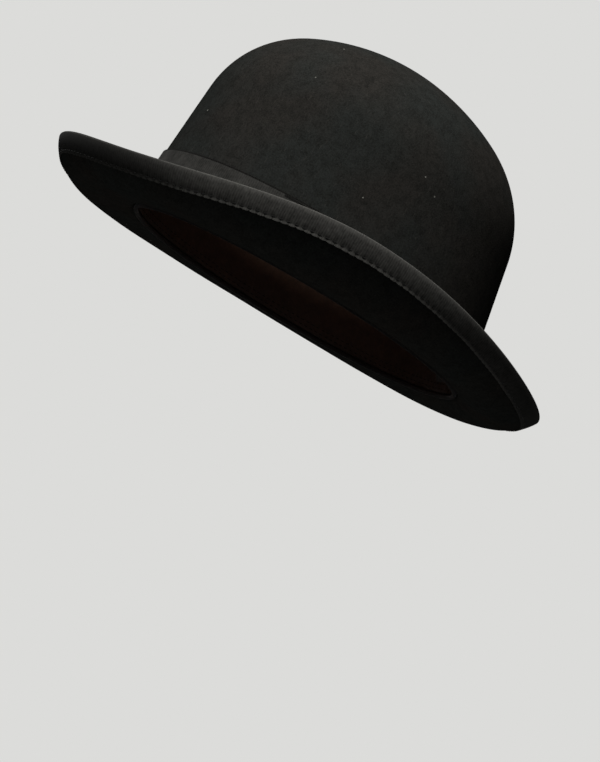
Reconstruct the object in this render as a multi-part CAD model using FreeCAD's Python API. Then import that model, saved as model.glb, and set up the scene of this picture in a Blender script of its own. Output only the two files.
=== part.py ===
# Bowler hat: a stiffened felt hat with a round crown and a curled brim.
# Sizes are in millimetres and angles in degrees. The wearer's left is +X, the
# back is +Y and up is +Z. The hat stands on the lowest line of its brim, at
# height zero, with the middle of the brim over the origin.
import FreeCAD, Part
import math
import os
from collections import namedtuple

os.makedirs("parts", exist_ok=True)
V = FreeCAD.Vector

# Fit between pieces, and how far a cutting shape runs past what it cuts
gap = 0.3
overrun = 5.0

# Felt body, crown: sizes over the outside, heights above the foot of the wall
felt = 2.2
crown_length = 211.5
crown_width = 176.0
crown_height = 143.4
wall_lean = 6.8
shoulder_radius = 63.0
tip_radius = 130.0
crown_tilt = 3.1
crown_setback = 2.3
turn_step = 0.4

# Felt body, brim: sizes over the felt. The edge rises above the foot, and dips
# between the front or back and the sides, by shares of how far the brim reaches.
brim_length = 304.4
brim_width = 238.3
front_rise_share = 0.2462
back_rise_share = 0.2514
side_rise_share = 0.8957
front_dip_share = 0.1005
back_dip_share = 0.0294
side_sharpness = 3.0
front_slope, back_slope, side_slope = 8.4, 15.1, 2.5
front_curl, back_curl, side_curl = 70.0, 55.5, 96.0
sections_round = 60

# Ribbons on the outside
binding_ribbon = 0.5
binding_width = 10.0
band_ribbon = 0.8
band_height = 32.0

# Bow on the wearer's left
bow_ribbon = 0.7
bow_place = -13.0
bow_half_length = 35.0
bow_height = 30.0
bow_waist_height = 25.0
bow_depth = 4.6
knot_width = 13.0

# Inside: lining, sweatband, reed and tapes
lining_cloth = 0.4
lining_foot = 11.0
seam_angle = 38.0
piping_diameter = 1.6
leather = 1.0
leather_height = 56.0
leather_join = 0.4
join_tape = 0.3
join_tape_width = 14.0
reed_diameter = 1.8
reed_level = 1.0
reed_ease = 0.15
reed_tape = 0.3
reed_flap_height = 7.5
tape_turn = 240
cord_sides = 6
inner_bow_ribbon = 0.5
inner_bow_length = 30.0
inner_bow_height = 9.0
inner_bow_waist = 4.0
inner_knot_width = 4.0
inner_knot_height = 6.0
inner_bow_level = 13.0

lean = math.radians(wall_lean)
tilt = math.radians(crown_tilt)

# How far the brim reaches from the crown, and what its edge rises and dips
front_reach = (brim_length - crown_length) / 2 + crown_setback
back_reach = (brim_length - crown_length) / 2 - crown_setback
side_reach = (brim_width - crown_width) / 2
front_rise = front_reach * front_rise_share
back_rise = back_reach * back_rise_share
side_rise = side_reach * side_rise_share
front_dip = front_reach * front_dip_share
back_dip = back_reach * back_dip_share

# Where each layer lies, as a distance out of the crown's outer face
felt_inside = -felt
lining_outside = felt_inside - gap
lining_inside = lining_outside - lining_cloth
join_outside = lining_inside - gap
join_inside = join_outside - join_tape
leather_outside = join_inside - gap
leather_inside = leather_outside - leather
inner_bow_outside = leather_inside - gap
inner_bow_inside = inner_bow_outside - inner_bow_ribbon
band_inside = gap
band_outside = band_inside + band_ribbon
knot_inside = band_outside + gap
knot_outside = knot_inside + bow_ribbon * 4 + gap * 3
waist_inside = knot_inside + bow_ribbon + gap
waist_outside = waist_inside + bow_ribbon * 2 + gap
loop_inside = band_outside + gap
loop_outside = loop_inside + bow_depth
wrap_radius = reed_diameter / 2 + reed_ease
reed_offset = felt_inside - gap - wrap_radius - reed_tape
inner_knot_outside = inner_bow_inside - gap
inner_knot_inside = inner_knot_outside - inner_bow_ribbon


def crown_centres():
    """The centres of the shoulder arc and the tip arc in the crown's outline."""
    tip_centre = crown_height - tip_radius
    start_r = crown_length / 2 - shoulder_radius * math.cos(lean)
    start_z = -shoulder_radius * math.sin(lean)
    reach = tip_radius - shoulder_radius
    along = start_z * math.cos(lean) - start_r * math.sin(lean) - tip_centre * math.cos(lean)
    apart = start_r ** 2 + (start_z - tip_centre) ** 2 - reach ** 2
    run = math.sqrt(along ** 2 - apart) - along
    shoulder = V(start_r - run * math.sin(lean), 0, start_z + run * math.cos(lean))
    return shoulder, V(0, 0, tip_centre)


shoulder_centre, tip_centre = crown_centres()


def polar(centre, radius, angle):
    """A point of an arc in the crown's outline, before the crown is made oval."""
    return centre + V(radius * math.cos(angle), 0, radius * math.sin(angle))


def oval_share(offset):
    """The crown's width over its length, on a layer at this offset."""
    return (crown_width / 2 + offset) / (crown_length / 2 + offset)


def make_oval(shape, offset):
    """Turn a round form into the crown's oval, tilted forward and set back."""
    matrix = FreeCAD.Matrix()
    matrix.A11 = oval_share(offset)
    matrix.A23 = -math.tan(tilt)
    matrix.A24 = crown_setback
    return shape.transformGeometry(matrix)


def around(t, offset, radius, height):
    """Where a point of the round form comes to lie, at an angle round from the front."""
    back = crown_setback - radius * math.cos(t) - height * math.tan(tilt)
    return V(radius * oval_share(offset) * math.sin(t), back, height)


def wall_radius(offset, height):
    """The round form's radius on the straight wall."""
    return crown_length / 2 + offset / math.cos(lean) - height * math.tan(lean)


def wall_point(t, offset, height):
    return around(t, offset, wall_radius(offset, height), height)


def block(offset, foot):
    """The crown's form as a solid, grown by an offset, from a foot height up."""
    shoulder = shoulder_radius + offset
    turn = math.atan2(shoulder_centre.z - tip_centre.z, shoulder_centre.x)
    wall_foot = V(wall_radius(offset, foot), 0, foot)
    wall_top = polar(shoulder_centre, shoulder, lean)
    shoulder_top = polar(shoulder_centre, shoulder, turn)
    shoulder_middle = polar(shoulder_centre, shoulder, (lean + turn) / 2)
    tip_middle = polar(tip_centre, tip_radius + offset, (turn + math.pi / 2) / 2)
    top = V(0, 0, crown_height + offset)
    outline = [
        Part.LineSegment(V(0, 0, foot), wall_foot),
        Part.LineSegment(wall_foot, wall_top),
        Part.Arc(wall_top, shoulder_middle, shoulder_top),
        Part.Arc(shoulder_top, tip_middle, top),
        Part.LineSegment(top, V(0, 0, foot)),
    ]
    face = Part.Face(Part.Wire([edge.toShape() for edge in outline]))
    quarter = face.revolve(V(0, 0, 0), V(0, 0, 1), 90)
    quarters = []
    for side in range(0, 360, 90):
        turned = quarter.rotated(V(0, 0, 0), V(0, 0, 1), side)
        quarters.append(make_oval(turned, offset))
    return quarters[0].fuse(quarters[1:])


def slab(low, high):
    """A block wider than the hat between two heights."""
    side = brim_length + brim_width
    return Part.makeBox(side, side, high - low, V(-side / 2, -side / 2, low))


def layer(outside, inside, low, high):
    """A skin of the crown between two offsets and two heights."""
    skin = block(outside, -overrun).cut(block(inside, -overrun * 2))
    return skin.common(slab(low, high))


Curl = namedtuple("Curl", "foot out reach rise radius start end")


def blend(front, back, side, share, t):
    """A brim size between its value at the front or back and that at the sides."""
    end = front if math.cos(t) > 0 else back
    return end + (side - end) * share


def curl(t):
    """The underside of the brim at an angle round the hat: a slope, then an arc."""
    share = abs(math.sin(t)) ** side_sharpness
    dip = (front_dip if math.cos(t) > 0 else back_dip) * math.sin(2 * t) ** 2
    rise = blend(front_rise, back_rise, side_rise, share, t) - dip
    slope = math.radians(blend(front_slope, back_slope, side_slope, math.sin(t) ** 2, t))
    end = math.radians(blend(front_curl, back_curl, side_curl, share, t))
    foot = wall_point(t, felt_inside + turn_step, 0)
    out = V(brim_width / 2 * math.sin(t), -brim_length / 2 * math.cos(t), 0) - foot
    width = out.Length
    out.normalize()
    # The slope's length and the arc's radius reach the edge's width and rise
    across = math.sin(end) + math.sin(slope)
    up = math.cos(slope) - math.cos(end)
    radius = (rise * math.cos(slope) + width * math.sin(slope)) / (
        up * math.cos(slope) + across * math.sin(slope))
    reach = width - radius * math.sin(end)
    return Curl(foot, out, reach, rise + radius * math.cos(end), radius, -slope, end)


def curl_point(c, angle, radius):
    """A point of the brim's section on an arc of this radius."""
    up = V(0, 0, c.rise - radius * math.cos(angle))
    return c.foot + c.out * (c.reach + radius * math.sin(angle)) + up


def curl_arc(c, start, end, radius):
    """An arc of the brim's section."""
    middle = curl_point(c, (start + end) / 2, radius)
    return Part.Arc(curl_point(c, start, radius), middle, curl_point(c, end, radius)).toShape()


def straight(start, end):
    return Part.LineSegment(start, end).toShape()


def ring(section):
    """A solid that runs all round the hat through a section at each angle."""
    step = 2 * math.pi / sections_round
    return Part.makeLoft([section(i * step) for i in range(sections_round)], True, True, True)


def brim_section(t):
    """The felt of the brim, from inside the crown's wall to the bare edge."""
    c = curl(t)
    top = c.radius - felt
    normal = c.out * math.sin(-c.start) + V(0, 0, math.cos(c.start))
    upper_foot = c.foot + normal * felt
    return Part.Wire([
        straight(c.foot, curl_point(c, c.start, c.radius)),
        curl_arc(c, c.start, c.end, c.radius),
        straight(curl_point(c, c.end, c.radius), curl_point(c, c.end, top)),
        curl_arc(c, c.end, c.start, top),
        straight(curl_point(c, c.start, top), upper_foot),
        straight(upper_foot, c.foot),
    ])


def felt_body():
    """Crown and brim, blocked from one felt."""
    crown = block(0, turn_step).cut(block(felt_inside, -overrun))
    return crown.fuse(ring(brim_section)).removeSplitter()


def binding_section(t):
    """The ribbon folded over the brim's edge, round its rolled side and its face."""
    c = curl(t)
    start = c.end - binding_width / c.radius
    stop = c.end + gap / c.radius
    under, over = c.radius + gap, c.radius - felt - gap
    fold = curl_point(c, stop + (binding_ribbon + gap) / c.radius, c.radius - felt / 2)
    outer, inner = under + binding_ribbon, over - binding_ribbon
    return Part.Wire([
        curl_arc(c, start, stop, outer),
        Part.Arc(curl_point(c, stop, outer), fold, curl_point(c, stop, inner)).toShape(),
        curl_arc(c, stop, start, inner),
        straight(curl_point(c, start, inner), curl_point(c, start, over)),
        curl_arc(c, start, stop, over),
        straight(curl_point(c, stop, over), curl_point(c, stop, under)),
        curl_arc(c, stop, start, under),
        straight(curl_point(c, start, under), curl_point(c, start, outer)),
    ])


def hat_band():
    """The ribbon round the foot of the crown, standing on the brim."""
    foot = felt + gap
    return layer(band_outside, band_inside, foot, foot + band_height)


# The bow stands on the band, midway up it
bow_level = felt + gap + band_height / 2


def side_point(u, offset, height):
    """A point by the crown's left wall, a distance behind the bow's middle."""
    middle = crown_setback - height * math.tan(tilt)
    cosine = (middle - bow_place - u) / wall_radius(offset, height)
    return wall_point(math.acos(cosine), offset, height)


def side_run(way, pairs, height):
    """A face of the ribbon along the left wall, through (place, offset) pairs."""
    edges = []
    for start, end in zip(pairs, pairs[1:]):
        middle = [(a + b) / 2 for a, b in zip(start, end)]
        points = [side_point(way * u, n, height) for u, n in (start, middle, end)]
        edges.append(Part.Arc(*points).toShape())
    return edges


def loop_outline(way, inset, height):
    """A bow loop seen from above: pinched at the knot, swelling, folded at its end."""
    low, high = loop_inside + inset, loop_outside - inset
    thin_low, thin_high = waist_inside + inset, waist_outside - inset
    bend = (high - low) / 2
    root = gap / 2 + inset
    clear = knot_width / 2 + gap
    fold = bow_half_length - inset - bend
    swell = (clear + fold) / 2
    corner = bend * (1 - math.sqrt(1 / 2))
    lower = [(root, thin_low), (clear, thin_low), (swell, low), (fold, low)]
    upper = [(fold, high), (swell, high), (clear, thin_high), (root, thin_high)]
    tip = (fold + bend, low + bend)
    edges = side_run(way, lower, height)
    for start, end, near in ((lower[-1], tip, low + corner), (tip, upper[0], high - corner)):
        turn = (fold + bend - corner, near)
        points = [side_point(way * u, n, height) for u, n in (start, turn, end)]
        edges.append(Part.Arc(*points).toShape())
    edges += side_run(way, upper, height)
    edges.append(straight(edges[-1].Vertexes[-1].Point, edges[0].Vertexes[0].Point))
    return Part.Wire(Part.__sortEdges__(edges))


def bow_loop(way):
    """One loop of the bow: a flat ribbon tube, narrower towards the knot."""
    low, high = bow_level - bow_height / 2, bow_level + bow_height / 2
    tube = Part.makeLoft([loop_outline(way, 0, z) for z in (low, high)], True, True)
    ends = (low - overrun, high + overrun)
    bore = Part.makeLoft([loop_outline(way, bow_ribbon, z) for z in ends], True, True)
    waist, full = bow_waist_height / 2, bow_height / 2
    side = [(0, -waist), (bow_half_length, -full), (bow_half_length, full), (0, waist)]
    corners = [V(0, bow_place + way * u, bow_level + z) for u, z in side]
    mask = Part.Face(Part.makePolygon(corners + corners[:1])).extrude(V(crown_width, 0, 0))
    return tube.cut(bore).common(mask)


def knot_section(u, inset):
    """The knot's strip across the bow, rounded over the edges of the loops."""
    low, high = knot_inside + inset, knot_outside - inset
    tall = bow_waist_height / 2 + gap + bow_ribbon - inset
    bulge = tall + (high - low) / 2
    foot, head = bow_level - tall, bow_level + tall
    middle = (low + high) / 2
    corners = [side_point(u, n, z) for n, z in ((low, foot), (high, foot), (high, head), (low, head))]
    under = side_point(u, middle, bow_level - bulge)
    over = side_point(u, middle, bow_level + bulge)
    return Part.Wire([
        Part.Arc(corners[0], under, corners[1]).toShape(),
        straight(corners[1], corners[2]),
        Part.Arc(corners[2], over, corners[3]).toShape(),
        straight(corners[3], corners[0]),
    ])


def bow_knot():
    """The strip wrapped round the bow's middle and the band's cut end."""
    half = knot_width / 2
    outer = Part.makeLoft([knot_section(u, 0) for u in (-half, 0, half)], True, True)
    past = half + gap
    inner = Part.makeLoft([knot_section(u, bow_ribbon) for u in (-past, 0, past)], True, True)
    return outer.cut(inner)


def sweatband():
    """The leather strip round the head opening, its two ends meeting at the back."""
    foot = reed_level + wrap_radius + reed_tape + gap
    strip = layer(leather_outside, leather_inside, foot, leather_height)
    join = Part.makeBox(leather_join, crown_length, leather_height, V(-leather_join / 2, 0, 0))
    return strip.cut(join)


def join_tape_strip():
    """The tape behind the join of the sweatband."""
    foot = reed_flap_height + gap
    band = layer(join_outside, join_inside, foot, leather_height)
    corner = V(-join_tape_width / 2, 0, 0)
    return band.common(Part.makeBox(join_tape_width, crown_length, leather_height, corner))


def cord_corner(t, offset, radius, height, size, side):
    """A corner of a thin cord's section, numbered from the one that faces outwards."""
    angle = 2 * math.pi * side / cord_sides
    return around(t, offset, radius + size * math.cos(angle), height + size * math.sin(angle))


def bead(t, offset, radius, height, size):
    """The many-sided section of a thin cord that runs round inside the hat."""
    points = [cord_corner(t, offset, radius, height, size, side) for side in range(cord_sides)]
    return Part.makePolygon(points + points[:1])


def reed_section(t):
    return bead(t, reed_offset, wall_radius(reed_offset, reed_level), reed_level, reed_diameter / 2)


def reed_tape_section(t):
    """The tape hooked round the reed, with its flap up against the felt."""
    middle = wall_radius(reed_offset, reed_level)
    flap = wall_radius(reed_offset, reed_flap_height)
    last = round(tape_turn / 360 * cord_sides)
    sizes = (wrap_radius + reed_tape, wrap_radius)
    outer, inner = [
        [cord_corner(t, reed_offset, middle, reed_level, size, -side) for side in range(last + 1)]
        for size in sizes]
    tops = [around(t, reed_offset, flap + size, reed_flap_height) for size in sizes[::-1]]
    points = outer + inner[::-1] + tops
    return Part.makePolygon(points + points[:1])


def back_mask(corners):
    """A prism through the back of the crown, from (across, up) corners."""
    points = [V(x, 0, inner_bow_level + z) for x, z in corners]
    return Part.Face(Part.makePolygon(points + points[:1])).extrude(V(0, crown_length, 0))


def sweatband_bow():
    """The small ribbon bow over the join: its two loops pressed flat, and its knot."""
    half, full, waist = inner_bow_length / 2, inner_bow_height / 2, inner_bow_waist / 2
    low, high = inner_bow_level - inner_bow_height, inner_bow_level + inner_bow_height
    loops = [(-half, -full), (0, -waist), (half, -full), (half, full), (0, waist), (-half, full)]
    flat = layer(inner_bow_outside, inner_bow_inside, low, high).common(back_mask(loops))
    across, up = inner_knot_width / 2, inner_knot_height / 2
    square = [(-across, -up), (across, -up), (across, up), (-across, up)]
    knot = layer(inner_knot_outside, inner_knot_inside, low, high).common(back_mask(square))
    return Part.makeCompound(flat.Solids + knot.Solids)


def lining_section(t):
    """The satin wall of the lining, from behind the sweatband up to the seam."""
    end = math.radians(seam_angle) - gap / shoulder_radius
    edges = []
    for offset in (lining_outside, lining_inside):
        size = shoulder_radius + offset
        arc = [polar(shoulder_centre, size, angle) for angle in (lean, (lean + end) / 2, end)]
        arc = [around(t, offset, point.x, point.z) for point in arc]
        edges += [straight(wall_point(t, offset, lining_foot), arc[0]), Part.Arc(*arc).toShape()]
    for corner in (0, 1):
        near, far = edges[corner], edges[corner + 2]
        edges.append(straight(near.Vertexes[corner].Point, far.Vertexes[corner].Point))
    return Part.Wire(Part.__sortEdges__(edges))


def lining_tip():
    """The oval satin cap of the lining, from the seam up."""
    seam = polar(shoulder_centre, shoulder_radius + lining_outside, math.radians(seam_angle))
    return layer(lining_outside, lining_inside, seam.z, crown_height)


def piping_section(t):
    """The cord over the seam of the lining."""
    offset = lining_inside - gap - piping_diameter / 2
    place = polar(shoulder_centre, shoulder_radius + offset, math.radians(seam_angle))
    return bead(t, offset, place.x, place.z, piping_diameter / 2)


# The crown's foot lies this far above the lowest line of the brim
curls = [curl(math.radians(angle)) for angle in range(360)]
foot_height = max(c.radius - c.rise for c in curls)

pieces = {
    "felt_body": felt_body(),
    "brim_binding": ring(binding_section),
    "hat_band": hat_band(),
    "bow_front_loop": bow_loop(-1),
    "bow_back_loop": bow_loop(1),
    "bow_knot": bow_knot(),
    "sweatband": sweatband(),
    "sweatband_join_tape": join_tape_strip(),
    "sweatband_reed": ring(reed_section),
    "reed_tape": ring(reed_tape_section),
    "sweatband_bow": sweatband_bow(),
    "lining_side": ring(lining_section),
    "lining_tip": lining_tip(),
    "tip_piping": ring(piping_section),
}
for name, shape in pieces.items():
    shape.translated(V(0, 0, foot_height)).exportStep("parts/" + name + ".step")
    print(name, len(shape.Solids), shape.isValid(), round(shape.Volume))
print("foot height", round(foot_height, 2))
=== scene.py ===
from bisect import bisect
from collections import namedtuple
from itertools import accumulate, product
from math import acos, asin, atan2, copysign, cos, exp, hypot, pi, radians, sin, sqrt, tan, tau

import bmesh
import bpy
from mathutils import Matrix, Vector, noise


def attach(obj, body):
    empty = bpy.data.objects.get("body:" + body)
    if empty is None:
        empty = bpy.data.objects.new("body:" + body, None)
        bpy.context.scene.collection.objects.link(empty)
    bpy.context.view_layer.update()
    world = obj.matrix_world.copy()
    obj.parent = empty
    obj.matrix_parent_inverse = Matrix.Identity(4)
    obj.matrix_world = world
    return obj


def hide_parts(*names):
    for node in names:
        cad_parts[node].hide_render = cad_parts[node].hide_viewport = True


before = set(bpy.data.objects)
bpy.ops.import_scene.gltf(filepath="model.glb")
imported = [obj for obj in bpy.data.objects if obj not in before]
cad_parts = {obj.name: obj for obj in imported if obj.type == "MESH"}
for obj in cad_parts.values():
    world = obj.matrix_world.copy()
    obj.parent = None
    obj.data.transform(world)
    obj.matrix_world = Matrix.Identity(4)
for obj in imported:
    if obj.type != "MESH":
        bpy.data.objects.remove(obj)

bl_info = {
    "name": "Bowler hat",
    "version": (1, 0, 0),
    "blender": (4, 5, 0),
    "location": "3D View > Sidebar > Bowler hat",
    "description": "Makes the felt, ribbons, bow, sweatband and lining of a bowler hat",
    "category": "Add Mesh",
}

MM = 0.001
UNROLLED = "Unrolled"
TURN_SHARE = 0.02  # the part of the felt's outline that rounds the corner, either side of the foot
CORD_TURNS = [tau * part / 12 for part in range(12)]  # where the points of a round cord lie
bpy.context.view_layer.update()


def linear(code):
    """An sRGB hex colour as the linear values that Blender works in."""
    shares = [int(code[place:place + 2], 16) / 255 for place in (1, 3, 5)]
    return [v / 12.92 if v <= 0.04045 else ((v + 0.055) / 1.055) ** 2.4 for v in shares] + [1.0]


def length(name, millimetres, description):
    """A length that the user can change."""
    return bpy.props.FloatProperty(
        name=name, description=description, default=millimetres * MM,
        precision=4, subtype="DISTANCE", unit="LENGTH")


def angle(name, degrees, description):
    """An angle that the user can change."""
    return bpy.props.FloatProperty(
        name=name, description=description, default=radians(degrees), subtype="ANGLE", unit="ROTATION")


def colour(name, value, description):
    """A colour that the user can change."""
    return bpy.props.FloatVectorProperty(
        name=name, description=description, default=linear(value), size=4, min=0.0, max=1.0, subtype="COLOR")


def power(name, watts, description):
    """A lamp's power that the user can change."""
    return bpy.props.FloatProperty(name=name, description=description, default=watts, unit="POWER")


class HatSizes(bpy.types.PropertyGroup):
    """Sizes of the felt body and of the ribbons on its outside."""
    gap: length("Clearance", 0.3, "Room between one layer and the next")
    felt: length("Felt thickness", 2.2, "Thickness of the felt")
    crown_length: length("Crown length", 211.5, "Front to back over the foot of the crown")
    crown_width: length("Crown width", 176.0, "Side to side over the foot of the crown")
    crown_height: length("Crown height", 143.4, "Top of the crown above its foot")
    wall_lean: angle("Wall lean", 6.8, "How far the crown's wall leans inwards")
    shoulder_radius: length("Shoulder radius", 63.0, "Radius from the wall to the top")
    tip_radius: length("Tip radius", 130.0, "Radius over the top of the crown")
    crown_tilt: angle("Crown tilt", 3.1, "How far the crown leans forward")
    crown_setback: length("Crown setback", 2.3, "How far the crown stands behind the middle")
    turn_step: length("Turn step", 0.4, "Step between the crown's inside and the brim's underside")
    corner_soft: length("Corner softness", 1.0, "How far the turn into the brim is rounded")
    stray: length("Stray", 0.45, "How far the hand-blocked felt strays from its true form")
    brim_length: length("Brim length", 304.4, "Front to back over the felt of the brim")
    brim_width: length("Brim width", 238.3, "Side to side over the felt of the brim")
    front_rise: length("Front rise", 12.0, "Rise of the brim's edge at the front")
    back_rise: length("Back rise", 11.1, "Rise of the brim's edge at the back")
    side_rise: length("Side rise", 27.9, "Rise of the brim's edge at the sides")
    front_dip: length("Front dip", 4.9, "How far the edge dips beside the front")
    back_dip: length("Back dip", 1.3, "How far the edge dips beside the back")
    side_sharpness: bpy.props.FloatProperty(
        name="Side sharpness", description="How quickly the brim rolls up at the sides", default=3.0)
    front_slope: angle("Front slope", 8.4, "Slope of the brim next to the crown at the front")
    back_slope: angle("Back slope", 15.1, "Slope of the brim next to the crown at the back")
    side_slope: angle("Side slope", 2.5, "Slope of the brim next to the crown at the sides")
    front_curl: angle("Front curl", 70.0, "Angle that the edge reaches at the front")
    back_curl: angle("Back curl", 55.5, "Angle that the edge reaches at the back")
    side_curl: angle("Side curl", 96.0, "Angle that the edge reaches at the sides")
    binding_ribbon: length("Binding thickness", 0.5, "Thickness of the ribbon on the edge")
    binding_width: length("Binding width", 10.0, "How far the ribbon covers the brim on each face")
    binding_stitch: length("Binding stitch", 3.9, "From one stitch of the binding to the next")
    band_ribbon: length("Band thickness", 0.8, "Thickness of the hat band")
    band_height: length("Band height", 32.0, "Height of the hat band")
    bow_ribbon: length("Bow ribbon", 0.7, "Thickness of the bow's ribbon")
    bow_place: length("Bow place", -13.0, "Where the bow's knot lies, front to back")
    bow_half_length: length("Bow half length", 35.0, "From the knot's middle to a loop's fold")
    bow_height: length("Bow height", 30.0, "Height of a loop at its fold")
    bow_waist_height: length("Bow waist", 25.0, "Height of a loop at the knot")
    bow_depth: length("Bow depth", 4.6, "How far a loop stands out")
    knot_width: length("Knot width", 13.0, "Width of the strip round the bow's middle")


class InsideSizes(bpy.types.PropertyGroup):
    """Sizes of the sweatband, the lining and their tapes."""
    lining_cloth: length("Lining cloth", 0.4, "Thickness of the lining")
    lining_foot: length("Lining foot", 11.0, "Height of the lining's lower edge")
    seam_angle: angle("Seam angle", 38.0, "Where on the shoulder the lining's seam lies")
    piping_diameter: length("Piping", 1.6, "Diameter of the cord over the seam")
    gathers: bpy.props.IntProperty(
        name="Gathers", description="Gathers in the lining's wall", default=72, min=3)
    gather_depth: length("Gather depth", 1.3, "How far a gather stands in")
    leather: length("Leather thickness", 1.0, "Thickness of the sweatband")
    leather_height: length("Leather height", 56.0, "Height of the sweatband's upper edge")
    leather_join: length("Leather join", 0.4, "Room between the sweatband's ends")
    leather_stitch: length("Leather stitch", 3.4, "From one stitch of the sweatband to the next")
    join_tape: length("Join tape", 0.3, "Thickness of the tape behind the join")
    reed_diameter: length("Reed diameter", 1.8, "Diameter of the reed")
    reed_level: length("Reed level", 1.0, "Height of the reed")
    reed_ease: length("Reed ease", 0.15, "Room between the reed and its tape")
    reed_tape: length("Reed tape", 0.3, "Thickness of the tape round the reed")
    reed_flap_height: length("Reed flap", 7.5, "Height of the tape's upper edge")
    tape_turn: angle("Tape turn", 240.0, "How far the tape hooks round the reed")
    bow_ribbon: length("Small bow ribbon", 0.5, "Thickness of the small bow's ribbon")
    bow_length: length("Small bow length", 30.0, "Length of the small bow")
    bow_height: length("Small bow height", 9.0, "Height of the small bow's loops")
    bow_waist: length("Small bow waist", 4.0, "Height of the small bow's loops at the knot")
    knot_width: length("Small knot width", 4.0, "Width of the small bow's knot")
    knot_height: length("Small knot height", 6.0, "Height of the small bow's knot")
    bow_level: length("Small bow level", 13.0, "Height of the small bow's middle")


class Finishes(bpy.types.PropertyGroup):
    """Colours of the hat's materials."""
    felt: colour("Felt", "#32302d", "The felt's nap")
    felt_cool: colour("Felt, turned", "#2f312f", "The nap where the brush turned it")
    felt_shade: colour("Felt shade", "#1c1c1a", "The felt between its fibres")
    lint: colour("Lint", "#7c7b74", "Specks of lint on the nap")
    ribbon: colour("Ribbon", "#494845", "The ribs of the grosgrain")
    # ribbon_shade is also the painted shade at the binding's front and back
    ribbon_shade: colour("Ribbon shade", "#21211f", "The grosgrain between its ribs")
    thread: colour("Thread", "#1d1d1c", "The sewing thread")
    leather: colour("Leather", "#433127", "The sweatband's grain side")
    leather_shade: colour("Leather shade", "#261c16", "The sweatband's pores and edges")
    satin: colour("Satin", "#4d3a33", "The lining's satin")
    satin_shade: colour("Satin shade", "#2b201c", "The satin between its threads")
    tape: colour("Tape", "#1f1e1c", "The woven tapes")
    reed: colour("Reed", "#4a4640", "The reed")


class StageSettings(bpy.types.PropertyGroup):
    """The floor, the lamps and the camera."""
    floor: colour("Floor", "#dcdcda", "The floor and backdrop")
    lamp_power: power("Lamp power", 16.5, "Power of the main lamp")
    fill_power: power("Fill power", 9.0, "Power of the lamp behind the hat")
    under_power: power("Under power", 0.5, "Power of the lamp under the hat")
    inside_power: power("Inside power", 0.2, "Power of the lamp in the opening")
    room_light: bpy.props.FloatProperty(
        name="Room light", description="Strength of the soft light from all round", default=0.05)
    camera_distance: length("Camera distance", 789.2, "From the camera to the hat's middle")
    camera_sideways: length("Camera sideways", 25.6, "How far the camera stands to the back")
    camera_drop: length("Camera drop", 30.0, "How far the camera stands below the middle")
    camera_yaw: angle("Camera yaw", -14.5, "How far the camera stands round from the side")
    camera_roll: angle("Camera lift", 5.77, "How far the camera looks up")
    camera_pitch: angle("Camera lean", 1.14, "How far the hat leans in the picture")
    picture_turn: angle("Picture turn", 30.9, "How far the picture is turned")
    lens: bpy.props.FloatProperty(
        name="Lens", description="Focal length, for a picture 36 mm wide", default=67.86, unit="CAMERA")


# A cut through the brim: its foot and its way out, how far out and how high its arc's centre
# lies, the arc's radius, the slope before the arc, and the runs to the edge and down the slope
Curl = namedtuple("Curl", "foot out reach rise radius slope run slope_run")


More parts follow.
